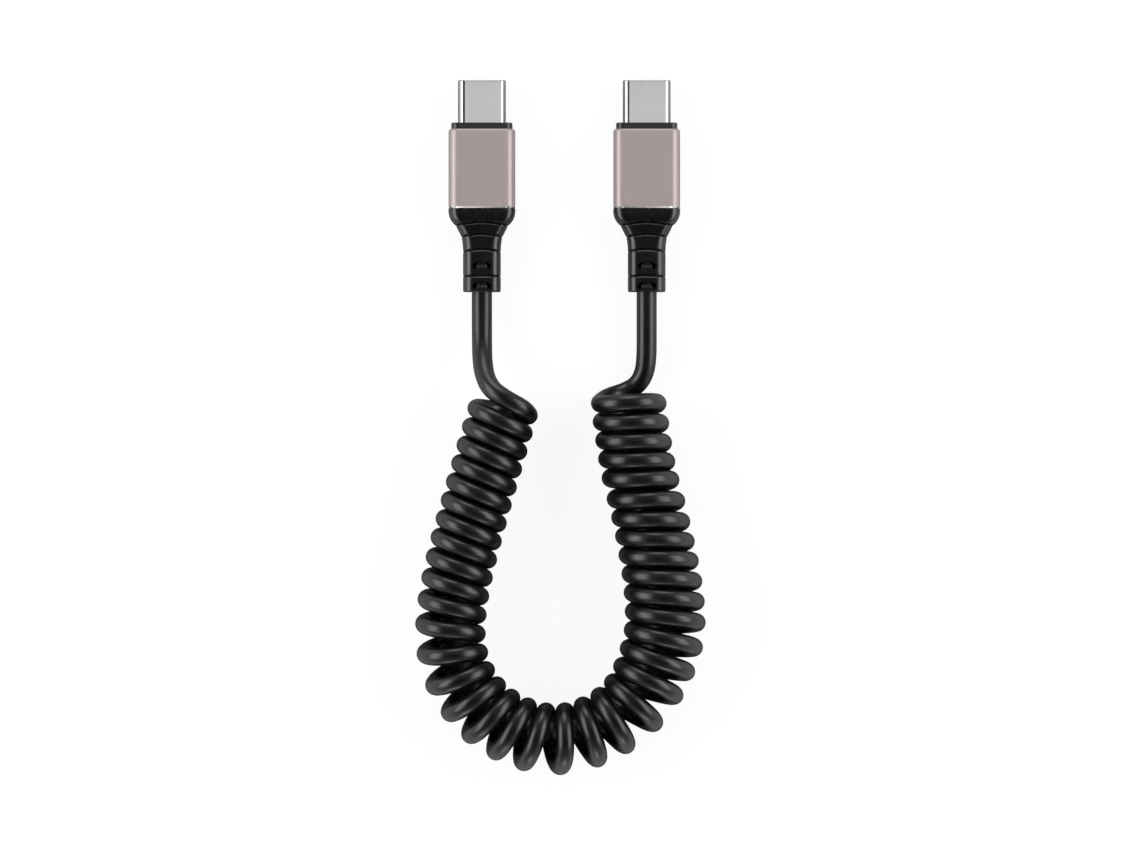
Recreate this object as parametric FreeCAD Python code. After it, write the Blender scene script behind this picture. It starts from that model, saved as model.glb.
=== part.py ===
"""Coiled charging cable: two reversible plugs joined by a curly cord that lies in a U.

Millimetres. The plugs lie flat, side by side, with their mouths towards +Y. The origin is on the
surface that they lie on, midway between them and midway along them, and +Z is up.
"""
import FreeCAD, Part
import math
import os

Vector = FreeCAD.Vector
UP = Vector(0, 0, 1)
TINY = 1e-6

# Where the two plugs lie
PLUG_SPACING = 28.5

# Plug shell: a drawn steel obround tube with a rolled rim
SHELL_WIDTH = 8.25
SHELL_HEIGHT = 2.40
SHELL_WALL = 0.25
SHELL_EXPOSED = 7.4
SHELL_SEATED = 4.8
SHELL_RIM_RADIUS = 0.20

# Sleeve: an anodised aluminium tube of rounded rectangular section
SLEEVE_WIDTH = 11.5
SLEEVE_HEIGHT = 6.2
SLEEVE_LENGTH = 13.7
SLEEVE_CORNER = 1.75
SLEEVE_WALL = 0.45
SLEEVE_CHAMFER = 0.30

# Inner body: the moulding inside the sleeve, whose front shows as a collar round the shell
COLLAR_LENGTH = 1.1
COLLAR_EDGE = 0.18
BODY_REAR_WALL = 1.7
CHAMBER_HEIGHT = 3.0

# Insulator: the moulding inside the shell, with the slot for the socket's tongue
INSULATOR_SETBACK = 0.35
SLOT_SIDE_WALL = 0.5
SLOT_HEIGHT = 0.84
SLOT_DEPTH = 6.2

# Contacts: two rows of stamped springs, each strip bent down to touch the tongue. A row has a place
# for every pin, and a hash where there is a strip
UPPER_PINS = "#..####.#..#"
LOWER_PINS = "#..##...#..#"
PIN_COUNT = len(UPPER_PINS)
PIN_PITCH = 0.5
CONTACT_WIDTH = 0.25
CONTACT_THICKNESS = 0.15
CONTACT_FRONT = 2.1
CONTACT_POINT = 3.3
CONTACT_POINT_GAP = 0.56
CONTACT_LIFT = 0.16
CONTACT_STEP = 0.5
CONTACT_TAIL = 1.6

# Ground springs: a small plate above the mouth and one below, with fingers bent into the slot
SPRING_MARGIN = 0.075
SPRING_LENGTH = 0.9
SPRING_THICKNESS = 0.12
SPRING_FRONT = 0.8
SPRING_FINGER_COUNT = 4
SPRING_FINGER_WIDTH = 0.6
SPRING_REACH = 0.08
SPRING_BEND_SHARE = 0.45
SPRING_TIP_SHARE = 0.1

# Latch: a mid-plate stamped as a U, with a hook at the end of each arm
LATCH_THICKNESS = 0.30
LATCH_ARM = 0.28
LATCH_ARM_GAP = 0.05
LATCH_FRONT = 1.8
LATCH_HOOK = 0.28
LATCH_HOOK_LENGTH = 1.1
LATCH_BASE = 1.4
LATCH_BASE_SETBACK = 0.8

# Paddle card and the wires soldered to it
CARD_WIDTH = 7.0
CARD_LENGTH = 4.8
CARD_THICKNESS = 0.8
SIGNAL_COUNT = 3
SIGNAL_DIAMETER = 0.6
SIGNAL_PITCH = 0.95
POWER_COUNT = 2
POWER_DIAMETER = 0.8
POWER_PITCH = 1.2
WIRE_OVERLAP = 1.6

# Strain relief: a bell behind the sleeve that runs out into a flat-faced tail round the cord
RELIEF_LENGTH = 14.4
RELIEF_OVERHANG = 0.03
RELIEF_SPIGOT = 1.5
RELIEF_TAIL_WIDTH = 6.50
RELIEF_TAIL_HEIGHT = 5.0
RELIEF_CORNER = 1.5
RELIEF_BELL_END = 2.95
RELIEF_CONE_END = 4.95
RELIEF_NECK_END = 7.5
RELIEF_END_EASE = 0.25
# How much of the flare from tail to front is left where the bell and the cone end, and how sharply the
# bell turns in and the neck runs out
BELL_END_SHARE = 0.50
CONE_END_SHARE = 0.10
BELL_POWER = 2.8
NECK_POWER = 2.0
BELL_SECTION_COUNT = 6
NECK_SECTION_COUNT = 3
GROOVE_WIDTH = 0.30
GROOVE_DEPTH = 0.28
# How far each groove bows towards the plug
BELL_GROOVE_BOW = 0.45
CONE_GROOVE_BOW = 0.40
NECK_GROOVE_BOW = 0.35
TAIL_GROOVE_BOW = 0.15
TAIL_BAND = 2.65
WINDOW_LENGTH = 3.6
WINDOW_WIDTH = 0.95
WINDOW_RADIUS = 3.2
WINDOW_FLOOR = 1.0

# Cord: one jacket from plug to plug, and the outside of its coil
CORD_DIAMETER = 3.35
COIL_DIAMETER = 13.0
FIT = 0.02
BEND_SHARE = 0.45

# The coil's axis, corner points in plan, from plug a round the U to plug b
COIL_ROUTE = (
    (-10.5, -36.9), (-10.5, -40.0), (-14.3, -51.2), (-19.65, -71.3), (-19.65, -82.5), (-14.3, -91.0),
    (-5.8, -95.5), (2.7, -95.5), (12.1, -90.25), (17.1, -80.3), (17.6, -71.5), (14.9, -57.0),
    (11.05, -41.3), (11.05, -37.0),
)
# Each lead: where it starts to bend, how far it runs straight into the coil's end face, and the
# place on that face, across and up from the coil's axis
LEAD_A_BEND = -25.0
LEAD_A_RUN_IN = 4.5
LEAD_A_JOIN = (-3.4, 0.0)
LEAD_B_BEND = -27.0
LEAD_B_RUN_IN = 4.2
LEAD_B_JOIN = (2.4, -4.1)

# Stations along a plug, measured back from its tip
COLLAR_FRONT = SHELL_EXPOSED
SHELL_REAR = COLLAR_FRONT + SHELL_SEATED
SLEEVE_FRONT = COLLAR_FRONT + COLLAR_LENGTH
SLEEVE_REAR = SLEEVE_FRONT + SLEEVE_LENGTH
BODY_REAR = SLEEVE_REAR - RELIEF_SPIGOT
JACKET_FRONT = BODY_REAR - BODY_REAR_WALL
PLUG_LENGTH = SLEEVE_REAR + RELIEF_LENGTH
CARD_REAR = SHELL_REAR + CARD_LENGTH

# Sizes that follow from those above
TIP_Y = PLUG_LENGTH / 2
AXIS_Z = SLEEVE_HEIGHT / 2
BODY_WIDTH = SLEEVE_WIDTH - 2 * (SLEEVE_WALL + FIT)
BODY_HEIGHT = SLEEVE_HEIGHT - 2 * (SLEEVE_WALL + FIT)
BODY_CORNER = SLEEVE_CORNER - SLEEVE_WALL - FIT
CAVITY_WIDTH = SHELL_WIDTH - 2 * SHELL_WALL
CAVITY_HEIGHT = SHELL_HEIGHT - 2 * SHELL_WALL
INSULATOR_WIDTH = CAVITY_WIDTH - 2 * FIT
INSULATOR_HEIGHT = CAVITY_HEIGHT - 2 * FIT
SLOT_WIDTH = CAVITY_WIDTH - 2 * SLOT_SIDE_WALL
CONTACT_RUN = SLOT_HEIGHT / 2 + CONTACT_LIFT
SPRING_WIDTH = INSULATOR_WIDTH - INSULATOR_HEIGHT - 2 * SPRING_MARGIN
SPRING_FINGER_PITCH = SPRING_WIDTH / SPRING_FINGER_COUNT
LATCH_INSIDE = SLOT_WIDTH / 2 + LATCH_ARM_GAP
LATCH_OUTSIDE = LATCH_INSIDE + LATCH_ARM
LATCH_BASE_FRONT = SLOT_DEPTH + LATCH_BASE_SETBACK
LATCH_BASE_REAR = LATCH_BASE_FRONT + LATCH_BASE
RELIEF_FRONT_WIDTH = SLEEVE_WIDTH + 2 * RELIEF_OVERHANG
RELIEF_FRONT_HEIGHT = SLEEVE_HEIGHT - 2 * RELIEF_OVERHANG
TAIL_GROOVE = RELIEF_LENGTH - TAIL_BAND
WINDOW_STATIONS = ((RELIEF_NECK_END + TAIL_GROOVE) / 2, (TAIL_GROOVE + RELIEF_LENGTH) / 2)
CORD_BORE = CORD_DIAMETER / 2 + FIT


def at(x, back, z):
    """A point of a plug: across, back from the tip, and up from the plug's own axis."""
    return Vector(x, TIP_Y - back, AXIS_Z + z)


def rounded_rectangle(width, height, radius, back):
    """Closed outline across the plug: four sides and four round corners."""
    half_w = width / 2
    half_h = height / 2
    diagonal = radius * (1 - math.sqrt(0.5))
    edges = []
    for sx, sz in ((1, 1), (-1, 1), (-1, -1), (1, -1)):
        upright = at(sx * half_w, back, sz * (half_h - radius))
        corner = at(sx * (half_w - diagonal), back, sz * (half_h - diagonal))
        level = at(sx * (half_w - radius), back, sz * half_h)
        ends = (upright, level) if sx == sz else (level, upright)
        if edges:
            edges.append(Part.LineSegment(edges[-1].Vertexes[-1].Point, ends[0]).toShape())
        edges.append(Part.Arc(ends[0], corner, ends[1]).toShape())
    edges.append(Part.LineSegment(edges[-1].Vertexes[-1].Point, edges[0].Vertexes[0].Point).toShape())
    return Part.Wire(edges)


def obround(width, height, back):
    """Closed outline across the plug: flat top and bottom with full round sides."""
    radius = height / 2
    flat = width / 2 - radius
    right_top = at(flat, back, radius)
    right_bottom = at(flat, back, -radius)
    left_top = at(-flat, back, radius)
    left_bottom = at(-flat, back, -radius)
    return Part.Wire([
        Part.LineSegment(left_top, right_top).toShape(),
        Part.Arc(right_top, at(width / 2, back, 0), right_bottom).toShape(),
        Part.LineSegment(right_bottom, left_bottom).toShape(),
        Part.Arc(left_bottom, at(-width / 2, back, 0), left_top).toShape(),
    ])


def drawn_back(outline, length):
    """The solid that an outline across the plug sweeps as it is drawn towards the tail."""
    return Part.Face(outline).extrude(Vector(0, -length, 0))


def block(width, front, rear, low, high, x=0.0):
    """A box of the given width, between two stations and two heights, centred at x."""
    return Part.makeBox(width, rear - front, high - low, at(x - width / 2, rear, low))


def rod(radius, front, rear, x=0.0, z=0.0):
    """A round bar along the plug between two stations."""
    return Part.makeCylinder(radius, rear - front, at(x, front, z), Vector(0, -1, 0))


def side_profile(points, width, x, side):
    """A strip cut to a side outline of (back, height) points; side -1 turns it upside down."""
    corners = [at(x - width / 2, back, side * height) for back, height in points]
    return Part.Face(Part.makePolygon(corners + corners[:1])).extrude(Vector(width, 0, 0))


def plan_profile(points, thickness, side):
    """A plate cut to a plan outline of (across, back) points; side -1 mirrors it."""
    corners = [at(side * x, back, -thickness / 2) for x, back in points]
    return Part.Face(Part.makePolygon(corners + corners[:1])).extrude(UP * thickness)


def pattern(count, pitch):
    """Centres of a row of evenly spaced places about the middle."""
    return [(index - (count - 1) / 2) * pitch for index in range(count)]


def rim_at(shape, back):
    """The edges of a shape that lie across the plug at a station."""
    y = TIP_Y - back
    return [edge for edge in shape.Edges
            if all(abs(edge.valueAt(edge.getParameterByLength(share * edge.Length)).y - y) < TINY
                   for share in (0.0, 0.5, 1.0))]


def plug_shell():
    length = SHELL_REAR
    outside = drawn_back(obround(SHELL_WIDTH, SHELL_HEIGHT, 0), length)
    outside = outside.makeFillet(SHELL_RIM_RADIUS, rim_at(outside, 0))
    return outside.cut(drawn_back(obround(CAVITY_WIDTH, CAVITY_HEIGHT, 0), length))


def insulator():
    body = drawn_back(obround(INSULATOR_WIDTH, INSULATOR_HEIGHT, INSULATOR_SETBACK),
                      SHELL_REAR - INSULATOR_SETBACK)
    half_slot = SLOT_HEIGHT / 2
    top = INSULATOR_HEIGHT / 2
    tunnel_low = CONTACT_RUN - FIT
    tunnel_high = CONTACT_RUN + CONTACT_THICKNESS + FIT
    cuts = [block(SLOT_WIDTH, INSULATOR_SETBACK, SLOT_DEPTH, -half_slot, half_slot)]
    for side in (1, -1):
        for x in pattern(PIN_COUNT, PIN_PITCH):
            channel = ((CONTACT_FRONT - FIT, 0), (CONTACT_FRONT - FIT, tunnel_high),
                       (SHELL_REAR, tunnel_high), (SHELL_REAR, tunnel_low),
                       (SLOT_DEPTH, tunnel_low), (SLOT_DEPTH, 0))
            cuts.append(side_profile(channel, CONTACT_WIDTH + 2 * FIT, x, side))
        recess = ((SPRING_FRONT - FIT, top - SPRING_THICKNESS), (SPRING_FRONT - FIT, top),
                  (SPRING_FRONT + SPRING_LENGTH + FIT, top),
                  (SPRING_FRONT + SPRING_LENGTH + FIT, top - SPRING_THICKNESS))
        cuts.append(side_profile(recess, SPRING_WIDTH + 2 * FIT, 0, side))
        for x in pattern(SPRING_FINGER_COUNT, SPRING_FINGER_PITCH):
            window = ((SPRING_FRONT, 0), (SPRING_FRONT, top),
                      (SPRING_FRONT + SPRING_LENGTH, top), (SPRING_FRONT + SPRING_LENGTH, 0))
            cuts.append(side_profile(window, SPRING_FINGER_WIDTH + 2 * FIT, x, side))
        arm_space = ((0, LATCH_FRONT - FIT), (LATCH_OUTSIDE + FIT, LATCH_FRONT - FIT),
                     (LATCH_OUTSIDE + FIT, LATCH_BASE_REAR + FIT), (0, LATCH_BASE_REAR + FIT),
                     (0, LATCH_BASE_FRONT - FIT), (LATCH_INSIDE - FIT, LATCH_BASE_FRONT - FIT),
                     (LATCH_INSIDE - FIT, SLOT_DEPTH), (0, SLOT_DEPTH))
        cuts.append(plan_profile(arm_space, LATCH_THICKNESS + 2 * FIT, side))
    return body.cut(cuts)


def contacts(pins, side):
    """A row of strips, each bent to the tongue at the front and down to the card at the rear."""
    pad = CARD_THICKNESS / 2
    tip = (CONTACT_RUN + CONTACT_POINT_GAP / 2) / 2
    inner_edge = ((CONTACT_FRONT, tip), (CONTACT_POINT, CONTACT_POINT_GAP / 2),
                  (SLOT_DEPTH, CONTACT_RUN), (SHELL_REAR, CONTACT_RUN),
                  (SHELL_REAR + CONTACT_STEP, pad), (SHELL_REAR + CONTACT_STEP + CONTACT_TAIL, pad))
    outer_edge = tuple((back, height + CONTACT_THICKNESS) for back, height in reversed(inner_edge))
    strips = [side_profile(inner_edge + outer_edge, CONTACT_WIDTH, x, side)
              for x, mark in zip(pattern(PIN_COUNT, PIN_PITCH), pins) if mark == "#"]
    return Part.makeCompound(strips)


def ground_springs():
    """A plate and its fingers above the slot, and the same below it."""
    top = INSULATOR_HEIGHT / 2
    low = top - SPRING_THICKNESS
    rear = SPRING_FRONT + SPRING_LENGTH
    bend = SPRING_FRONT + SPRING_LENGTH * SPRING_BEND_SHARE
    touch = SLOT_HEIGHT / 2 - SPRING_REACH
    front = SPRING_FRONT + SPRING_LENGTH * SPRING_TIP_SHARE
    lift = touch + SPRING_REACH
    finger = ((rear, low), (bend, touch), (front, lift), (front, lift + SPRING_THICKNESS),
              (bend, touch + SPRING_THICKNESS), (rear, top))
    halves = []
    for side in (1, -1):
        plate = ((SPRING_FRONT, low), (SPRING_FRONT, top), (rear, top), (rear, low))
        fingers = [side_profile(finger, SPRING_FINGER_WIDTH, x, side)
                   for x in pattern(SPRING_FINGER_COUNT, SPRING_FINGER_PITCH)]
        halves.append(side_profile(plate, SPRING_WIDTH, 0, side).multiFuse(fingers).removeSplitter())
    return Part.makeCompound(halves)


def latch():
    hook_inside = SLOT_WIDTH / 2 - LATCH_HOOK
    hook_rear = LATCH_FRONT + LATCH_HOOK_LENGTH
    outline = ((0, LATCH_BASE_FRONT), (LATCH_INSIDE, LATCH_BASE_FRONT), (LATCH_INSIDE, hook_rear),
               (hook_inside, hook_rear - LATCH_HOOK), (hook_inside, LATCH_FRONT + LATCH_HOOK),
               (LATCH_INSIDE, LATCH_FRONT), (LATCH_OUTSIDE, LATCH_FRONT),
               (LATCH_OUTSIDE, LATCH_BASE_REAR), (0, LATCH_BASE_REAR))
    halves = [plan_profile(outline, LATCH_THICKNESS, side) for side in (1, -1)]
    return halves[0].fuse(halves[1]).removeSplitter()


def paddle_card():
    return block(CARD_WIDTH, SHELL_REAR, CARD_REAR, -CARD_THICKNESS / 2, CARD_THICKNESS / 2)


def conductors():
    """Wires that lie on both faces of the card and run back to the end of the jacket."""
    wires = []
    for count, pitch, diameter, side in ((SIGNAL_COUNT, SIGNAL_PITCH, SIGNAL_DIAMETER, 1),
                                         (POWER_COUNT, POWER_PITCH, POWER_DIAMETER, -1)):
        height = side * (CARD_THICKNESS / 2 + diameter / 2 + FIT / 2)
        wires += [rod(diameter / 2, CARD_REAR - WIRE_OVERLAP, JACKET_FRONT, x, height)
                  for x in pattern(count, pitch)]
    return Part.makeCompound(wires)


def inner_body():
    body = drawn_back(rounded_rectangle(BODY_WIDTH, BODY_HEIGHT, BODY_CORNER, COLLAR_FRONT),
                      BODY_REAR - COLLAR_FRONT)
    body = body.makeFillet(COLLAR_EDGE, rim_at(body, COLLAR_FRONT))
    seat = drawn_back(obround(SHELL_WIDTH + 2 * FIT, SHELL_HEIGHT + 2 * FIT, COLLAR_FRONT), SHELL_SEATED)
    chamber = block(CARD_WIDTH + 2 * FIT, SHELL_REAR, JACKET_FRONT, -CHAMBER_HEIGHT / 2, CHAMBER_HEIGHT / 2)
    return body.cut([seat, chamber, rod(CORD_BORE, JACKET_FRONT, BODY_REAR)])


def sleeve():
    tube = drawn_back(rounded_rectangle(SLEEVE_WIDTH, SLEEVE_HEIGHT, SLEEVE_CORNER, SLEEVE_FRONT),
                      SLEEVE_LENGTH)
    rims = rim_at(tube, SLEEVE_FRONT) + rim_at(tube, SLEEVE_REAR)
    tube = tube.makeChamfer(SLEEVE_CHAMFER, rims)
    bore = rounded_rectangle(BODY_WIDTH + 2 * FIT, BODY_HEIGHT + 2 * FIT, BODY_CORNER + FIT, SLEEVE_FRONT)
    return tube.cut(drawn_back(bore, SLEEVE_LENGTH))


def relief_flare(distance):
    """How much of the flare is left at a distance behind the relief's front face, from 1 to 0."""
    if distance <= RELIEF_BELL_END:
        return 1 - (1 - BELL_END_SHARE) * (distance / RELIEF_BELL_END) ** BELL_POWER
    if distance <= RELIEF_CONE_END:
        along = (distance - RELIEF_BELL_END) / (RELIEF_CONE_END - RELIEF_BELL_END)
        return BELL_END_SHARE + along * (CONE_END_SHARE - BELL_END_SHARE)
    left = max(0, RELIEF_NECK_END - distance) / (RELIEF_NECK_END - RELIEF_CONE_END)
    return CONE_END_SHARE * left ** NECK_POWER


def relief_width(distance):
    return RELIEF_TAIL_WIDTH + relief_flare(distance) * (RELIEF_FRONT_WIDTH - RELIEF_TAIL_WIDTH)


def relief_section(distance, inset):
    """Outline of the strain relief at a distance behind its front face, pulled in all round by inset."""
    height = RELIEF_TAIL_HEIGHT + relief_flare(distance) * (RELIEF_FRONT_HEIGHT - RELIEF_TAIL_HEIGHT)
    return rounded_rectangle(relief_width(distance) - 2 * inset, height - 2 * inset,
                             RELIEF_CORNER - inset / 2, SLEEVE_REAR + distance)


def relief_form(inset):
    """The outer form of the strain relief: bell, cone, neck and flat-faced tail, end to end."""
    bands = []
    for start, end, sections in ((0, RELIEF_BELL_END, BELL_SECTION_COUNT),
                                 (RELIEF_BELL_END, RELIEF_CONE_END, 2),
                                 (RELIEF_CONE_END, RELIEF_NECK_END, NECK_SECTION_COUNT)):
        step = (end - start) / (sections - 1)
        outlines = [relief_section(start + index * step, inset) for index in range(sections)]
        bands.append(Part.makeLoft(outlines, True, sections == 2))
    eased = RELIEF_LENGTH - RELIEF_END_EASE
    bands.append(drawn_back(relief_section(RELIEF_NECK_END, inset), eased - RELIEF_NECK_END))
    bands.append(Part.makeLoft([relief_section(eased, inset),
                                relief_section(RELIEF_LENGTH, inset + RELIEF_END_EASE / 2)], True, True))
    return bands[0].multiFuse(bands[1:]).removeSplitter()


def bowed_band(station, bow):
    """A thin wall through the relief that bows towards the plug, to cut one groove round it."""
    half_width = relief_width(station) / 2
    reach = half_width + 2 * GROOVE_DEPTH
    radius = (half_width ** 2 + bow ** 2) / (2 * bow)
    drop = radius - math.sqrt(radius ** 2 - reach ** 2)
    front = SLEEVE_REAR + station - bow - GROOVE_WIDTH / 2
    rear = front + GROOVE_WIDTH
    low = -SLEEVE_HEIGHT
    edges = [
        Part.Arc(at(-reach, front + drop, low), at(0, front, low), at(reach, front + drop, low)).toShape(),
        Part.LineSegment(at(reach, front + drop, low), at(reach, rear + drop, low)).toShape(),
        Part.Arc(at(reach, rear + drop, low), at(0, rear, low), at(-reach, rear + drop, low)).toShape(),
        Part.LineSegment(at(-reach, rear + drop, low), at(-reach, front + drop, low)).toShape(),
    ]
    return Part.Face(Part.Wire(edges)).extrude(UP * (2 * SLEEVE_HEIGHT))


def window(station, side):
    """An arched slot in one flat face of the tail, down to the cord inside it."""
    sweep = (WINDOW_LENGTH - WINDOW_WIDTH) / 2 / WINDOW_RADIUS
    centre = SLEEVE_REAR + station + WINDOW_RADIUS
    floor = WINDOW_FLOOR if side > 0 else -WINDOW_FLOOR - SLEEVE_HEIGHT

    def on_arc(radius, angle):
        return at(radius * math.sin(angle), centre - radius * math.cos(angle), floor)

    def end_tip(angle):
        over = WINDOW_WIDTH / 2 / WINDOW_RADIUS
        return on_arc(WINDOW_RADIUS, angle + math.copysign(over, angle))

    outer = WINDOW_RADIUS + WINDOW_WIDTH / 2
    inner = WINDOW_RADIUS - WINDOW_WIDTH / 2
    edges = [
        Part.Arc(on_arc(outer, -sweep), on_arc(outer, 0), on_arc(outer, sweep)).toShape(),
        Part.Arc(on_arc(outer, sweep), end_tip(sweep), on_arc(inner, sweep)).toShape(),
        Part.Arc(on_arc(inner, sweep), on_arc(inner, 0), on_arc(inner, -sweep)).toShape(),
        Part.Arc(on_arc(inner, -sweep), end_tip(-sweep), on_arc(outer, -sweep)).toShape(),
    ]
    return Part.Face(Part.Wire(edges)).extrude(UP * SLEEVE_HEIGHT)


def strain_relief():
    core = relief_form(GROOVE_DEPTH)
    spigot = drawn_back(rounded_rectangle(BODY_WIDTH, BODY_HEIGHT, BODY_CORNER, BODY_REAR), RELIEF_SPIGOT)
    cuts = [rod(CORD_BORE, BODY_REAR, PLUG_LENGTH)]
    for station, bow in ((RELIEF_BELL_END, BELL_GROOVE_BOW), (RELIEF_CONE_END, CONE_GROOVE_BOW),
                         (RELIEF_NECK_END, NECK_GROOVE_BOW), (TAIL_GROOVE, TAIL_GROOVE_BOW)):
        cuts.append(bowed_band(station, bow).cut(core))
    cuts += [window(station, side) for station in WINDOW_STATIONS for side in (1, -1)]
    return relief_form(0).fuse(spigot).removeSplitter().cut(cuts)


def smooth_route(points):
    """Straight runs joined by the largest tangent arcs that they leave room for."""
    edges = []
    radii = []
    start = points[0]
    for before, corner, after in zip(points, points[1:], points[2:]):
        arriving = (corner - before).normalize()
        leaving = (after - corner).normalize()
        half_turn = arriving.getAngle(leaving) / 2
        reach = BEND_SHARE * min((corner - before).Length, (after - corner).Length)
        radius = reach / math.tan(half_turn)
        inward = (leaving - arriving).normalize()
        middle = corner + inward * (radius / math.cos(half_turn) - radius)
        arc_start = corner - arriving * reach
        arc_end = corner + leaving * reach
        edges.append(Part.LineSegment(start, arc_start).toShape())
        edges.append(Part.Arc(arc_start, middle, arc_end).toShape())
        radii.append(radius)
        start = arc_end
    edges.append(Part.LineSegment(start, points[-1]).toShape())
    return Part.Wire(edges), radii


def tube_along(name, points, diameter):
    """A round solid along a route, with its bends and its volume against section times length."""
    path, radii = smooth_route(points)
    section = Part.Wire(Part.Circle(points[0], points[1] - points[0], diameter / 2).toShape())
    solid = path.makePipeShell([section], True, True)
    share = solid.Volume / (math.pi * diameter ** 2 / 4 * path.Length)
    print(name, "bend radii", [round(radius, 1) for radius in radii],
          "length %.1f" % path.Length, "volume share %.4f" % share)
    return solid


def lead_route(plug_x, bend_y, run_in, join, coil_end, coil_next):
    """From the jacket's end inside a plug, out of its strain relief and on to the coil's end face."""
    inward = (coil_next - coil_end).normalize()
    across = UP.cross(inward)
    meet = coil_end + across * join[0] + UP * join[1]
    return [Vector(plug_x, TIP_Y - JACKET_FRONT, AXIS_Z), Vector(plug_x, bend_y, AXIS_Z),
            meet - inward * run_in, meet]


PLUG_PIECES = {
    "plug_shell": plug_shell(),
    "insulator": insulator(),
    "upper_contacts": contacts(UPPER_PINS, 1),
    "lower_contacts": contacts(LOWER_PINS, -1),
    "latch": latch(),
    "ground_springs": ground_springs(),
    "paddle_card": paddle_card(),
    "conductors": conductors(),
    "inner_body": inner_body(),
    "sleeve": sleeve(),
    "strain_relief": strain_relief(),
}

os.makedirs("parts", exist_ok=True)
plug_places = {"a": -PLUG_SPACING / 2, "b": PLUG_SPACING / 2}
for plug, plug_x in plug_places.items():
    for piece, shape in PLUG_PIECES.items():
        shape.translated(Vector(plug_x, 0, 0)).exportStep("parts/%s_%s.step" % (piece, plug))

coil_points = [Vector(x, y, COIL_DIAMETER / 2) for x, y in COIL_ROUTE]
lead_a = lead_route(plug_places["a"], LEAD_A_BEND, LEAD_A_RUN_IN, LEAD_A_JOIN, *coil_points[:2])
lead_b = lead_route(plug_places["b"], LEAD_B_BEND, LEAD_B_RUN_IN, LEAD_B_JOIN, *reversed(coil_points[-2:]))
tube_along("lead_a", lead_a, CORD_DIAMETER).exportStep("parts/lead_a.step")
tube_along("coil", coil_points, COIL_DIAMETER).exportStep("parts/coil.step")
tube_along("lead_b", lead_b, CORD_DIAMETER).exportStep("parts/lead_b.step")
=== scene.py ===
"""Looks of the coiled charging cable: its curly cord, the finishes of its plugs, studio and camera.

Metres, in the same frame as the solids: plugs side by side along X, mouths towards +Y, floor at z = 0.
"""
import math

import bpy
from mathutils import Matrix, Vector


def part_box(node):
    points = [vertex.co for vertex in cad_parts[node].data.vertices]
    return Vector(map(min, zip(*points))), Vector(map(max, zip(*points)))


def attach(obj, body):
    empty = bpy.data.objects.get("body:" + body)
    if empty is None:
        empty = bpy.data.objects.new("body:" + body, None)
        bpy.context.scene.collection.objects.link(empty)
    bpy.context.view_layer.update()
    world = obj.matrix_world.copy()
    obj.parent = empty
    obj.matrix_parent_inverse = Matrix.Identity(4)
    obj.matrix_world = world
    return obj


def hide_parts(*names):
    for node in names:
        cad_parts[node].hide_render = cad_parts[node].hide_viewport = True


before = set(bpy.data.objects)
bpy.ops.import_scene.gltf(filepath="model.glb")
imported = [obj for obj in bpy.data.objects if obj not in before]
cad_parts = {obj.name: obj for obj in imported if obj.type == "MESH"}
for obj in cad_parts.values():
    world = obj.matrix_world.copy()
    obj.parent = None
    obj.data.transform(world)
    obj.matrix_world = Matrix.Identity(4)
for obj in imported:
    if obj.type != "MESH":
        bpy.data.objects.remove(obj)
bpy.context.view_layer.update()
scene = bpy.context.scene
scene.view_settings.view_transform = "Standard"

MM = 0.001
UP = Vector((0, 0, 1))

# The plugs' own axes
PLUG_AXIS_X = 14.25 * MM
PLUG_AXIS_Z = 3.1 * MM

# The cord: its thickness in the turns, the points on each turn, how far apart neighbouring turns lie in
# thicknesses, and how much of the coil's axis stays bare ahead of the first turn and behind the last
CORD_DIAMETER = 3.13 * MM
TURN_POINTS = 16
TURN_CLEARANCE = 1.012
LEAD_IN = 2.7 * MM
LEAD_OUT = 0.5 * MM
# How finely the cord is drawn along and round it, and a guide line along it
CORD_STEPS = 4
CORD_SIDE_STEPS = 8
GUIDE_STEPS = 40

# The coil's axis: corner points in plan and the coil's outer radius there in millimetres, and how many
# degrees the turns lean from square. The coil lies on the floor, so its axis is one radius above it.
COIL_ROUTE = (
    (-9.75, -36.2, 6.1, 1.5), (-14.3, -51.2, 6.1, 0), (-19.65, -71.3, 6.1, 0), (-19.65, -82.5, 6.15, -5),
    (-14.3, -91.0, 6.25, -3), (-5.8, -95.5, 6.25, 0), (2.7, -95.5, 6.25, -6), (12.1, -90.25, 6.5, -10),
    (17.1, -80.3, 7.1, -8), (17.6, -71.5, 6.95, 6), (14.9, -57.0, 6.65, 8), (12.2, -47.6, 6.55, 4),
    (10.85, -35.6, 6.55, -4),
)
# The leads, each point with the cord's thickness there, in millimetres: a comes out of its plug and
# rises on to the top of the first turn, b leaves under the last turn and comes up to its plug
LEAD_A_ROUTE = (
    (-14.25, -0.7, 3.1, 3.50), (-14.25, -19.0, 3.1, 3.50), (-14.25, -26.0, 3.5, 3.50),
    (-14.1, -31.6, 6.4, 3.45), (-12.9, -34.9, 9.6, 3.38), (-10.3, -36.8, 10.9, 3.30),
    (-7.0, -38.5, 10.2, 3.20),
)
LEAD_B_ROUTE = (
    (7.6, -36.4, 2.9, 3.13), (10.6, -35.55, 1.75, 3.20), (12.7, -34.4, 1.80, 3.35),
    (13.9, -32.3, 2.15, 3.45), (14.25, -29.5, 2.8, 3.50), (14.25, -25.0, 3.1, 3.50),
    (14.25, -19.0, 3.1, 3.50), (14.25, -0.7, 3.1, 3.50),
)

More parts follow.
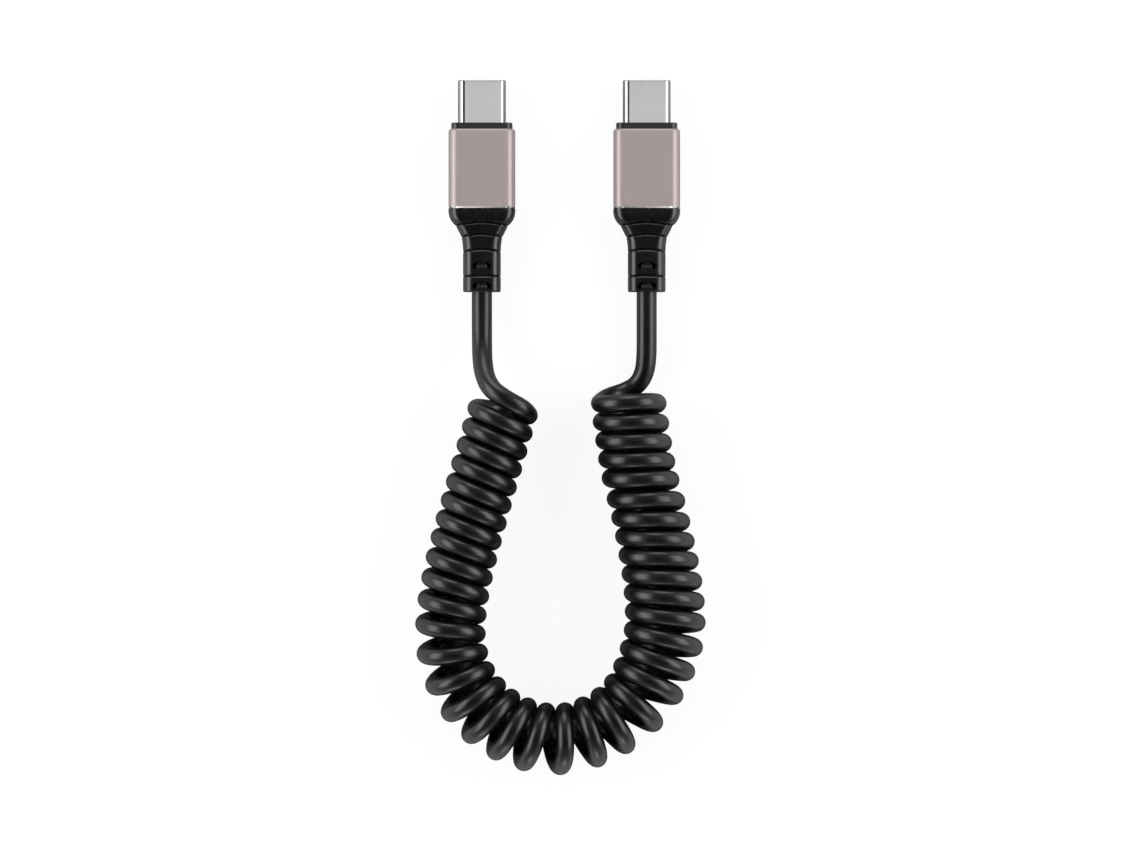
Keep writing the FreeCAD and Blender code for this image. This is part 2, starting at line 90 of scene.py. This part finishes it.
# The strain relief, in millimetres behind the sleeve: bell, cone, neck and flat-faced tail
RELIEF_FRONT_SIZE = (11.56, 5.66)
RELIEF_TAIL_SIZE = (6.50, 5.0)
RELIEF_LENGTH = 14.4
RELIEF_CORNER = 1.9
RELIEF_END_EASE = 0.25
BELL_END = 2.95
CONE_END = 4.95
NECK_END = 7.5
# How much of the flare is left where the bell and the cone end, and how sharply bell and neck turn
BELL_END_SHARE = 0.50
CONE_END_SHARE = 0.10
BELL_POWER = 2.8
NECK_POWER = 2.0
# Its grooves: how far behind the sleeve each lies, how far it bows towards the plug and its depth
GROOVES = ((BELL_END, 0.65, 0.38), (CONE_END, 0.60, 0.34), (NECK_END, 0.52, 0.31), (11.75, 0.22, 0.30))
# How far a groove's walls run out, how much shorter the rear one is at the corners, and how much of the
# depth goes on the narrow sides, which start where the surface turns this far to the side
GROOVE_FRONT_WALL = 0.18
GROOVE_REAR_WALL = 0.52
GROOVE_CORNER_CUT = 0.6
GROOVE_SIDE_FADE = 0.7
GROOVE_SIDE_START = 0.7
# Its arched windows down to the cord, and the hollow that runs down into each from behind
WINDOW_STATIONS = (9.625, 13.075)
WINDOW_LENGTH = 3.6
WINDOW_WIDTH = 0.95
WINDOW_RADIUS = 2.2
WINDOW_TONGUE = 0.5
WINDOW_FLOOR = 1.0
WINDOW_TOP = 4.0
WINDOW_STEPS = 12
SCOOP_DEPTH = 0.28
SCOOP_LENGTH = 0.85
SCOOP_HALF_WIDTH = 1.1
# The hole in its tail, round the cord, and the share to which its hidden front draws in
CORD_HOLE = 1.78
CORD_HOLE_DEPTH = 1.0
FRONT_SHARE = 0.8
# How finely its surface is laid out: rows along it, and steps round each corner, flat and side
RELIEF_ROWS = 240
CORNER_STEPS = 16
FLAT_STEPS = 28
SIDE_STEPS = 6
SHARP_ANGLE = 40


def nurbs_curve(name, points, radii=None):
    """A curve object of one open, smooth NURBS spline through the neighbourhood of the points."""
    curve = bpy.data.curves.new(name, "CURVE")
    curve.dimensions = "3D"
    spline = curve.splines.new("NURBS")
    spline.points.add(len(points) - 1)
    for place, point, radius in zip(spline.points, points, radii or [1.0] * len(points)):
        place.co = (*point, 1.0)
        place.radius = radius
    spline.order_u = 3
    spline.use_endpoint_u = True
    piece = bpy.data.objects.new(name, curve)
    scene.collection.objects.link(piece)
    return piece


def read_line(points):
    """Points read along the smooth curve of a route."""
    guide = nurbs_curve("guide", points)
    guide.data.splines[0].resolution_u = GUIDE_STEPS
    line = bpy.data.meshes.new_from_object(guide)
    places = [vertex.co.copy() for vertex in line.vertices]
    bpy.data.objects.remove(guide)
    bpy.data.meshes.remove(line)
    return places


def helix_points(axis, leans):
    """Turns of the cord round the coil's axis, each touching the next on the inside of the bend."""
    sides = []
    for before, after, lean in zip(axis, axis[2:], leans[1:]):
        side = (after - before).cross(UP).normalized()
        side.rotate(Matrix.Rotation(-math.radians(lean), 3, "Z"))
        sides.append(side)
    stations = []
    along = 0.0
    turns = 0.0
    length = sum((b - a).length for a, b in zip(axis, axis[1:]))
    for before, here, side, next_side, lean in zip(axis, axis[1:], sides, sides[1:], leans[1:]):
        run = (here - before).length
        radius = here.z - CORD_DIAMETER / 2
        climb = math.atan(CORD_DIAMETER / (2 * math.pi * radius))
        squeeze = 1 - side.angle(next_side) / run * radius
        pitch = CORD_DIAMETER * TURN_CLEARANCE / squeeze / math.cos(abs(math.radians(lean)) + climb)
        along += run
        if LEAD_IN <= along <= length - LEAD_OUT:
            turns += run / pitch
            stations.append((turns, here, side, radius))
    slack = turns / math.floor(turns)
    places = []
    for (start, a, side_a, radius_a), (end, b, side_b, radius_b) in zip(stations, stations[1:]):
        while len(places) / TURN_POINTS * slack <= min(end, turns):
            share = (len(places) / TURN_POINTS * slack - start) / (end - start)
            reach = (radius_a + (radius_b - radius_a) * share) / math.cos(math.pi / TURN_POINTS)
            angle = math.pi + 2 * math.pi * len(places) / TURN_POINTS
            outward = side_a.lerp(side_b, share) * math.cos(angle) + UP * math.sin(angle)
            places.append(a.lerp(b, share) + outward * reach)
    return places


def in_metres(route):
    return [Vector(point[:3]) * MM for point in route]


def route_radii(route):
    return [point[3] / 2 * MM for point in route]


coil_axis = read_line(in_metres(COIL_ROUTE))
coil_leans = [place.x for place in read_line([Vector((point[3], 0, 0)) for point in COIL_ROUTE])]
turn_points = helix_points(coil_axis, coil_leans)
cord_points = in_metres(LEAD_A_ROUTE) + turn_points + in_metres(LEAD_B_ROUTE)
cord_radii = route_radii(LEAD_A_ROUTE) + [CORD_DIAMETER / 2] * len(turn_points) + route_radii(LEAD_B_ROUTE)
cord = nurbs_curve("cord", cord_points, cord_radii)
cord.data.splines[0].resolution_u = CORD_STEPS
cord.data.bevel_depth = 1.0
cord.data.bevel_resolution = CORD_SIDE_STEPS
cord.data.use_fill_caps = True
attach(cord, "root")
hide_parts("lead_a", "coil", "lead_b")
cord_line = read_line(cord_points)
relief_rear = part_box("strain_relief_a")[0].y


def relief_flare(distance):
    """How much of the flare is left at a distance behind the sleeve, from 1 to 0."""
    if distance <= BELL_END:
        return 1 - (1 - BELL_END_SHARE) * (distance / BELL_END) ** BELL_POWER
    if distance <= CONE_END:
        along = (distance - BELL_END) / (CONE_END - BELL_END)
        return BELL_END_SHARE + along * (CONE_END_SHARE - BELL_END_SHARE)
    return CONE_END_SHARE * (max(0, NECK_END - distance) / (NECK_END - CONE_END)) ** NECK_POWER


def relief_size(distance):
    """The relief's width and height at a distance behind the sleeve."""
    flare = relief_flare(distance)
    return [tail + flare * (front - tail) for front, tail in zip(RELIEF_FRONT_SIZE, RELIEF_TAIL_SIZE)]


def eased(share):
    """A share from 0 to 1 with soft ends."""
    share = min(max(share, 0), 1)
    return share * share * (3 - 2 * share)


def groove_depth(distance, across, facing):
    """How deep the grooves go at one place on the relief."""
    sideways = abs(facing.x)
    rear_wall = GROOVE_REAR_WALL * (1 - GROOVE_CORNER_CUT * eased(sideways / GROOVE_SIDE_START))
    fade = GROOVE_SIDE_FADE * eased((sideways - GROOVE_SIDE_START) / (1 - GROOVE_SIDE_START))
    deepest = 0
    for station, bow, depth in GROOVES:
        half = relief_size(station)[0] / 2
        radius = (half ** 2 + bow ** 2) / (2 * bow)
        behind = distance - (station - bow + radius - math.sqrt(radius ** 2 - across ** 2))
        wall = rear_wall if behind > 0 else GROOVE_FRONT_WALL
        deepest = max(deepest, depth * (1 - fade) * eased(1 - abs(behind) / wall))
    return deepest


def scoop_depth(distance, across):
    """How deep the hollow goes that runs down into a window from behind."""
    deepest = 0
    for station in WINDOW_STATIONS:
        inward = (WINDOW_RADIUS - WINDOW_WIDTH / 2 + WINDOW_TONGUE
                  - math.hypot(across, station + WINDOW_RADIUS - distance))
        if inward > -WINDOW_WIDTH / 4 and distance < station + WINDOW_RADIUS:
            depth = SCOOP_DEPTH * eased((SCOOP_HALF_WIDTH - abs(across)) / SCOOP_HALF_WIDTH * 2)
            deepest = max(deepest, depth * eased(1 - max(inward, 0) / SCOOP_LENGTH))
    return deepest


def window_outline(station):
    """Places round one arched window in plan: along its outer arc, round one end and back."""
    sweep = (WINDOW_LENGTH - WINDOW_WIDTH) / 2 / WINDOW_RADIUS
    half = WINDOW_WIDTH / 2
    middle = Vector((0, -station - WINDOW_RADIUS))
    outline = []
    for end in (1, -1):
        for step in range(WINDOW_STEPS):
            angle = end * sweep * (2 * step / WINDOW_STEPS - 1)
            tongue = WINDOW_TONGUE * (1 - (angle / sweep) ** 2) if end < 0 else 0
            reach = WINDOW_RADIUS + end * half + tongue
            outline.append(middle + Vector((math.sin(angle), math.cos(angle))) * reach)
        tip = middle + Vector((math.sin(end * sweep), math.cos(sweep))) * WINDOW_RADIUS
        for step in range(WINDOW_STEPS):
            angle = end * sweep + math.pi * (step / WINDOW_STEPS + (end < 0))
            outline.append(tip + Vector((math.sin(angle), math.cos(angle))) * half)
    return outline


def window_mesh():
    """The hollows of the four windows, two in each flat face."""
    places = []
    faces = []
    for station in WINDOW_STATIONS:
        outline = window_outline(station)
        count = len(outline)
        for low, high in ((WINDOW_FLOOR, WINDOW_TOP), (-WINDOW_TOP, -WINDOW_FLOOR)):
            first = len(places)
            places += [(*place, height) for height in (low, high) for place in outline]
            faces.append(range(first, first + count))
            faces.append(range(first + 2 * count - 1, first + count - 1, -1))
            faces += [(first + (step + 1) % count, first + step, first + count + step,
                       first + count + (step + 1) % count) for step in range(count)]
    mesh = bpy.data.meshes.new("window_hollows")
    mesh.from_pydata([Vector(place) * MM for place in places], [], [tuple(face) for face in faces])
    return mesh


def rounded_ring(width, height, corner):
    """Places round a rounded rectangle, each with the way it faces."""
    reach = Vector((width / 2 - corner, height / 2 - corner))
    corners = [Vector((reach.x * side, reach.y * rise))
               for side, rise in ((1, 1), (-1, 1), (-1, -1), (1, -1))]
    ring = []
    for quarter, steps in enumerate((FLAT_STEPS, SIDE_STEPS, FLAT_STEPS, SIDE_STEPS)):
        for step in range(CORNER_STEPS):
            angle = math.pi / 2 * (quarter + step / CORNER_STEPS)
            facing = Vector((math.cos(angle), math.sin(angle)))
            ring.append((corners[quarter] + facing * corner, facing))
        angle = math.pi / 2 * (quarter + 1)
        facing = Vector((math.cos(angle), math.sin(angle)))
        for step in range(steps):
            place = corners[quarter].lerp(corners[(quarter + 1) % 4], step / steps)
            ring.append((place + facing * corner, facing))
    return ring


def relief_mesh():
    """The relief's skin with rounded groove lips, its tail end closed round the cord."""
    rows = []
    for index in range(RELIEF_ROWS + 1):
        distance = RELIEF_LENGTH * index / RELIEF_ROWS
        past_ease = max(0, distance - RELIEF_LENGTH + RELIEF_END_EASE) / RELIEF_END_EASE
        inset = RELIEF_END_EASE / 2 * past_ease ** 2
        row = []
        for place, facing in rounded_ring(*relief_size(distance), RELIEF_CORNER):
            hollow = max(groove_depth(distance, place.x, facing), scoop_depth(distance, place.x))
            place = place - facing * (inset + hollow)
            row.append((place.x, -distance, place.y))
        rows.append(row)
    front = [(x * FRONT_SHARE, 0, z * FRONT_SHARE) for x, y, z in rows[0]]
    rim = [Vector((x, z)).normalized() * CORD_HOLE for x, y, z in rows[-1]]
    hole = [(place.x, -RELIEF_LENGTH, place.y) for place in rim]
    inside = [(place.x, CORD_HOLE_DEPTH - RELIEF_LENGTH, place.y) for place in rim]
    rows = [front] + rows + [hole, inside]
    around = len(front)
    faces = [(row * around + step, row * around + (step + 1) % around,
              (row + 1) * around + (step + 1) % around, (row + 1) * around + step)
             for row in range(len(rows) - 1) for step in range(around)]
    faces.append(tuple(reversed(range(around))))
    faces.append(tuple(range((len(rows) - 1) * around, len(rows) * around)))
    mesh = bpy.data.meshes.new("relief_form")
    mesh.from_pydata([Vector(place) * MM for row in rows for place in row], [], faces)
    return mesh


def cut_out(mesh, hollows):
    """The mesh with the hollows taken out of it, smooth but for its sharp edges."""
    whole = bpy.data.objects.new("whole", mesh)
    tool = bpy.data.objects.new("tool", hollows)
    for body in (whole, tool):
        scene.collection.objects.link(body)
    cut = whole.modifiers.new("windows", "BOOLEAN")
    cut.object = tool
    made = bpy.data.meshes.new_from_object(whole.evaluated_get(bpy.context.evaluated_depsgraph_get()))
    made.polygons.foreach_set("use_smooth", [True] * len(made.polygons))
    made.set_sharp_from_angle(angle=math.radians(SHARP_ANGLE))
    for body in (whole, tool):
        bpy.data.objects.remove(body)
    return made


relief_skin = cut_out(relief_mesh(), window_mesh())
for end, side in (("a", -1), ("b", 1)):
    relief = bpy.data.objects.new("relief_" + end, relief_skin)
    relief.location = (side * PLUG_AXIS_X, relief_rear + RELIEF_LENGTH * MM, PLUG_AXIS_Z)
    scene.collection.objects.link(relief)
    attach(relief, "root")
    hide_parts("strain_relief_" + end)

# What all the finishes share: noise spreads over the middle of its range, its clouds of colour and gloss
# are this many times coarser than the grain, and edges are rounded by this many samples
NOISE_LOW = 0.3
NOISE_HIGH = 0.7
CLOUD_SIZE = 12
CLOUD_DETAIL = 2.0
GRAIN_DETAIL = 3.0
GRAIN_STRENGTH = 0.35
EDGE_SAMPLES = 8
# How far the surface turns to the cord, along -Y, where the sleeve's rear edge becomes bare metal
CUT_EDGE = (-0.30, -0.55)


def material(name):
    """A new node material: its tree, its main shader and the object's own coordinates."""
    made = bpy.data.materials.new(name)
    made.use_nodes = True
    tree = made.node_tree
    shader = tree.nodes["Principled BSDF"]
    coordinates = tree.nodes.new("ShaderNodeTexCoord")
    return made, tree, shader, coordinates.outputs["Object"]


def noise(tree, vector, scale, detail, stretch):
    """Procedural noise in object space, in features per metre."""
    mapping = tree.nodes.new("ShaderNodeMapping")
    mapping.inputs["Scale"].default_value = stretch
    texture = tree.nodes.new("ShaderNodeTexNoise")
    texture.inputs["Scale"].default_value = scale
    texture.inputs["Detail"].default_value = detail
    tree.links.new(vector, mapping.inputs["Vector"])
    tree.links.new(mapping.outputs["Vector"], texture.inputs["Vector"])
    return texture.outputs["Fac"]


def colour_range(tree, factor, dark, light):
    """Two colours blended by noise."""
    node = tree.nodes.new("ShaderNodeValToRGB")
    node.color_ramp.elements[0].position = NOISE_LOW
    node.color_ramp.elements[1].position = NOISE_HIGH
    node.color_ramp.elements[0].color = (*dark, 1)
    node.color_ramp.elements[1].color = (*light, 1)
    tree.links.new(factor, node.inputs["Fac"])
    return node.outputs["Color"]


def number_range(tree, factor, low, high, start=NOISE_LOW, end=NOISE_HIGH):
    """A number that runs from low to high as a factor runs from start to end."""
    node = tree.nodes.new("ShaderNodeMapRange")
    node.inputs["From Min"].default_value = start
    node.inputs["From Max"].default_value = end
    node.inputs["To Min"].default_value = low
    node.inputs["To Max"].default_value = high
    tree.links.new(factor, node.inputs["Value"])
    return node.outputs["Result"]


def turned_to(tree, axis):
    """How squarely the surface is turned to an axis of the frame, from -1 to 1."""
    geometry = tree.nodes.new("ShaderNodeNewGeometry")
    parts = tree.nodes.new("ShaderNodeSeparateXYZ")
    tree.links.new(geometry.outputs["Normal"], parts.inputs[0])
    return parts.outputs[axis]


def paint_flank_shade(tree, colour, share, steep, level):
    """Painted shade in the base colour: toned down to a share of itself where the surface is steep, and
    whole where it is level.
    """
    size = tree.nodes.new("ShaderNodeMath")
    size.operation = "ABSOLUTE"
    toned = tree.nodes.new("ShaderNodeVectorMath")
    toned.operation = "SCALE"
    tree.links.new(turned_to(tree, "Z"), size.inputs[0])
    tree.links.new(colour, toned.inputs[0])
    tree.links.new(number_range(tree, size.outputs[0], share, 1.0, steep, level), toned.inputs["Scale"])
    return toned.outputs[0]


def finish_material(name, dark, light, rough, grain, depth, metallic=0.0, specular=0.5, stretch=(1, 1, 1),
                    edge=0.0, rim=1.0, flank_shade=None):
    """A moulded or metal surface: a little variation in colour and gloss over a fine grain.

    The grain is given in features per metre and by its depth, edge is the radius that sharp edges show,
    rim the strength of the gleam at a glancing angle, and flank the share, steepness and levelness of the
    painted shade on steep sides.
    """
    made, tree, shader, vector = material(name)
    shader.inputs["Metallic"].default_value = metallic
    shader.inputs["Specular IOR Level"].default_value = specular
    shader.inputs["Specular Tint"].default_value = (rim, rim, rim, 1)
    cloud = noise(tree, vector, grain / CLOUD_SIZE, CLOUD_DETAIL, stretch)
    colour = colour_range(tree, cloud, dark, light)
    # Painted shade: the steep sides get a darker base colour
    if flank_shade:
        colour = paint_flank_shade(tree, colour, *flank_shade)
    tree.links.new(colour, shader.inputs["Base Color"])
    tree.links.new(number_range(tree, cloud, *rough), shader.inputs["Roughness"])
    bump = tree.nodes.new("ShaderNodeBump")
    bump.inputs["Strength"].default_value = GRAIN_STRENGTH
    bump.inputs["Distance"].default_value = depth
    tree.links.new(noise(tree, vector, grain, GRAIN_DETAIL, stretch), bump.inputs["Height"])
    tree.links.new(bump.outputs["Normal"], shader.inputs["Normal"])
    if edge:
        rounded = tree.nodes.new("ShaderNodeBevel")
        rounded.samples = EDGE_SAMPLES
        rounded.inputs["Radius"].default_value = edge
        tree.links.new(rounded.outputs["Normal"], bump.inputs["Normal"])
    return made


def polish_rear(made, colour, rough):
    """Cuts the edge round a sleeve's rear end bright: bare metal where the surface turns to the cord."""
    tree = made.node_tree
    shader = tree.nodes["Principled BSDF"]
    rear = turned_to(tree, "Y")
    metallic = number_range(tree, rear, shader.inputs["Metallic"].default_value, 1.0, *CUT_EDGE)
    gloss = number_range(tree, rear, rough, rough, *CUT_EDGE)
    tree.links.new(shader.inputs["Roughness"].links[0].from_socket, gloss.node.inputs["To Min"])
    # A Mix node has sockets for each kind of value, and these are the ones for colours
    blend = tree.nodes.new("ShaderNodeMix")
    blend.data_type = "RGBA"
    share, paint, bare, blended = blend.inputs[0], blend.inputs[6], blend.inputs[7], blend.outputs[2]
    bare.default_value = (*colour, 1)
    tree.links.new(number_range(tree, rear, 0.0, 1.0, *CUT_EDGE), share)
    tree.links.new(shader.inputs["Base Color"].links[0].from_socket, paint)
    tree.links.new(blended, shader.inputs["Base Color"])
    tree.links.new(gloss, shader.inputs["Roughness"])
    tree.links.new(metallic, shader.inputs["Metallic"])


MATERIALS = {
    "cord": finish_material(
        "cord_tpu", dark=(0.002, 0.002, 0.0023), light=(0.003, 0.003, 0.0033), rough=(0.28, 0.33),
        grain=9000, depth=0.003 * MM, specular=0.56),
    "strain_relief": finish_material(
        "relief_tpe", dark=(0.0018, 0.0018, 0.002), light=(0.0025, 0.0025, 0.0028), rough=(0.24, 0.28),
        grain=8000, depth=0.0015 * MM, specular=0.65),
    "inner_body": finish_material(
        "collar_gloss", dark=(0.020, 0.020, 0.0205), light=(0.025, 0.025, 0.0255), rough=(0.16, 0.22),
        grain=5000, depth=0.002 * MM, edge=0.15 * MM),
    "sleeve": finish_material(
        "sleeve_anodised", dark=(0.500, 0.424, 0.414), light=(0.520, 0.441, 0.431), rough=(0.34, 0.40),
        grain=16000, depth=0.005 * MM, metallic=0.3, stretch=(1, 0.12, 1), edge=0.08 * MM, rim=0.2,
        # flank: painted shade, the sleeve's steep sides darkened in its base colour
        flank_shade=(0.85, 0.58, 0.84)),
    "plug_shell": finish_material(
        "shell_nickel", dark=(0.82, 0.81, 0.80), light=(0.88, 0.87, 0.86), rough=(0.09, 0.12),
        grain=6000, depth=0.0003 * MM, metallic=1.0, stretch=(1, 0.15, 1), rim=0.0,
        # flank: painted shade, the shell's steep sides darkened to half in its base colour
        flank_shade=(0.50, 0.87, 0.98)),
    "insulator": finish_material(
        "insulator_lcp", dark=(0.012, 0.012, 0.013), light=(0.018, 0.018, 0.019), rough=(0.5, 0.6),
        grain=7000, depth=0.01 * MM),
    "upper_contacts": finish_material(
        "contact_gold", dark=(0.72, 0.48, 0.15), light=(0.82, 0.58, 0.22), rough=(0.22, 0.3),
        grain=9000, depth=0.004 * MM, metallic=1.0),
    "latch": finish_material(
        "spring_steel", dark=(0.55, 0.55, 0.56), light=(0.62, 0.62, 0.63), rough=(0.25, 0.33),
        grain=9000, depth=0.004 * MM, metallic=1.0),
    "paddle_card": finish_material(
        "card_green", dark=(0.02, 0.12, 0.05), light=(0.03, 0.17, 0.07), rough=(0.3, 0.4),
        grain=6000, depth=0.006 * MM),
    "conductors": finish_material(
        "wire_red", dark=(0.40, 0.02, 0.02), light=(0.48, 0.035, 0.03), rough=(0.4, 0.5),
        grain=6000, depth=0.008 * MM),
}
MATERIALS["lower_contacts"] = MATERIALS["upper_contacts"]
MATERIALS["ground_springs"] = MATERIALS["latch"]
polish_rear(MATERIALS["sleeve"], colour=(0.80, 0.78, 0.77), rough=0.22)

cord.data.materials.append(MATERIALS["cord"])
relief_skin.materials.append(MATERIALS["strain_relief"])
for name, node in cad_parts.items():
    kind = "cord" if name in ("lead_a", "coil", "lead_b") else name[:-2]
    node.data.materials.clear()
    node.data.materials.append(MATERIALS[kind])

# Floor: white to the camera and in reflections, and darker there where the cable shades it
FLOOR_SIZE = 6.0
FLOOR_COLOUR = (0.15, 0.15, 0.15, 1)
FLOOR_ROUGHNESS = 0.9
FLOOR_GLOW = 0.90
SHADE_REACH = 50 * MM
SHADE_SAMPLES = 4
# How open the floor is to the sky where its glow starts to show in reflections
SHADE_START = 0.80


def joined(tree, operation, first, second):
    """Two numbers put together, the second one from the tree or plain."""
    node = tree.nodes.new("ShaderNodeMath")
    node.operation = operation
    node.use_clamp = True
    tree.links.new(first, node.inputs[0])
    if isinstance(second, float):
        node.inputs[1].default_value = second
    else:
        tree.links.new(second, node.inputs[1])
    return node.outputs[0]


bpy.ops.mesh.primitive_plane_add(size=FLOOR_SIZE, location=(0, 0, 0))
floor = bpy.context.object
floor.name = "floor"
floor_material, tree, shader, _ = material("floor_white")
shader.inputs["Base Color"].default_value = FLOOR_COLOUR
shader.inputs["Roughness"].default_value = FLOOR_ROUGHNESS
shader.inputs["Specular IOR Level"].default_value = 0.0
glow = tree.nodes.new("ShaderNodeEmission")
seen = tree.nodes.new("ShaderNodeLightPath")
shade = tree.nodes.new("ShaderNodeAmbientOcclusion")
shade.samples = SHADE_SAMPLES
shade.inputs["Distance"].default_value = SHADE_REACH
lit = number_range(tree, shade.outputs["AO"], 0.0, 1.0, SHADE_START, 1.0)
mirrored = joined(tree, "MAXIMUM", seen.outputs["Is Glossy Ray"], seen.outputs["Is Transmission Ray"])
mirrored = joined(tree, "MULTIPLY", mirrored, lit)
shown = joined(tree, "MAXIMUM", seen.outputs["Is Camera Ray"], mirrored)
tree.links.new(joined(tree, "MULTIPLY", shown, FLOOR_GLOW), glow.inputs["Strength"])
both = tree.nodes.new("ShaderNodeAddShader")
tree.links.new(shader.outputs[0], both.inputs[0])
tree.links.new(glow.outputs[0], both.inputs[1])
tree.links.new(both.outputs[0], tree.nodes["Material Output"].inputs["Surface"])
floor.data.materials.append(floor_material)

# Room: white to the camera, with walls that light the cable and dim towards the ceiling. ROOM_GLOW says
# how brightly they glow at each height, from the horizon at 0 to straight above at 1.
ROOM_COLOUR = (0.99, 0.99, 1.0, 1)
ROOM_GLOW = ((0.30, 0.60), (0.62, 0.32), (0.86, 0.13), (0.985, 0.03))
world = bpy.data.worlds.new("studio")
world.use_nodes = True
tree = world.node_tree
background = tree.nodes["Background"]
background.inputs["Color"].default_value = ROOM_COLOUR
direction = tree.nodes.new("ShaderNodeTexCoord")
rise = tree.nodes.new("ShaderNodeSeparateXYZ")
wall = tree.nodes.new("ShaderNodeValToRGB")
wall.color_ramp.interpolation = "EASE"
for height, level in ROOM_GLOW[1:-1]:
    wall.color_ramp.elements.new(height)
for stop, (height, level) in zip(wall.color_ramp.elements, ROOM_GLOW):
    stop.position = height
    stop.color = (level, level, level, 1)
seen = tree.nodes.new("ShaderNodeLightPath")
brightest = tree.nodes.new("ShaderNodeMath")
brightest.operation = "MAXIMUM"
tree.links.new(direction.outputs["Generated"], rise.inputs[0])
tree.links.new(rise.outputs["Z"], wall.inputs["Fac"])
tree.links.new(wall.outputs["Color"], brightest.inputs[0])
tree.links.new(seen.outputs["Is Camera Ray"], brightest.inputs[1])
tree.links.new(brightest.outputs[0], background.inputs["Strength"])
scene.world = world

# Lamps: soft boxes left, right, far and near of the cable, and a strip low over the plugs
CENTRE = Vector((0.0, -0.042, 0.0))
STRIP_PLACE = Vector((0.10, 0.030, 0.30))
STRIP_TARGET = Vector((0.10, 0.030, 0.0))


def soft_box(name, place, size, radiance, target=CENTRE):
    """A rectangular lamp of the given radiance that faces a target."""
    lamp = bpy.data.lights.new(name, "AREA")
    lamp.shape = "RECTANGLE"
    lamp.size, lamp.size_y = size
    lamp.energy = radiance * math.pi * size[0] * size[1]
    body = bpy.data.objects.new(name, lamp)
    body.location = place
    body.rotation_euler = (target - place).to_track_quat("-Z", "Y").to_euler()
    body.visible_camera = False
    scene.collection.objects.link(body)


def towards(azimuth, elevation, distance):
    """A place seen from the cable at an azimuth from +X and an elevation, in degrees."""
    flat = distance * math.cos(math.radians(elevation))
    return CENTRE + Vector((flat * math.cos(math.radians(azimuth)), flat * math.sin(math.radians(azimuth)),
                            distance * math.sin(math.radians(elevation))))


soft_box("left_box", towards(azimuth=176, elevation=31, distance=0.8), size=(0.9, 0.46), radiance=3.4)
soft_box("right_box", towards(azimuth=8, elevation=31, distance=0.8), size=(0.9, 0.46), radiance=3.2)
soft_box("far_box", towards(azimuth=90, elevation=15, distance=1.0), size=(0.5, 0.48), radiance=2.6)
soft_box("near_box", towards(azimuth=270, elevation=9, distance=1.0), size=(0.5, 0.29), radiance=3.0)
soft_box("top_box", STRIP_PLACE, size=(0.30, 0.026), radiance=0.66, target=STRIP_TARGET)

# Camera: a long lens straight above, at the photograph's scale and framing
PHOTO_WIDTH = 1140
PHOTO_HEIGHT = 855
MM_PER_PIXEL = 0.173
ORIGIN_PIXEL = (564.3, 186.15)
CAMERA_DISTANCE = 1.0
SENSOR_WIDTH = 36
view_width = PHOTO_WIDTH * MM_PER_PIXEL * MM
camera_data = bpy.data.cameras.new("camera")
camera_data.sensor_width = SENSOR_WIDTH
camera_data.lens = SENSOR_WIDTH * CAMERA_DISTANCE / view_width
camera = bpy.data.objects.new("camera", camera_data)
camera.location = ((PHOTO_WIDTH / 2 - ORIGIN_PIXEL[0]) * MM_PER_PIXEL * MM,
                   (ORIGIN_PIXEL[1] - PHOTO_HEIGHT / 2) * MM_PER_PIXEL * MM,
                   PLUG_AXIS_Z + CAMERA_DISTANCE)
scene.collection.objects.link(camera)
scene.camera = camera

bpy.context.view_layer.update()
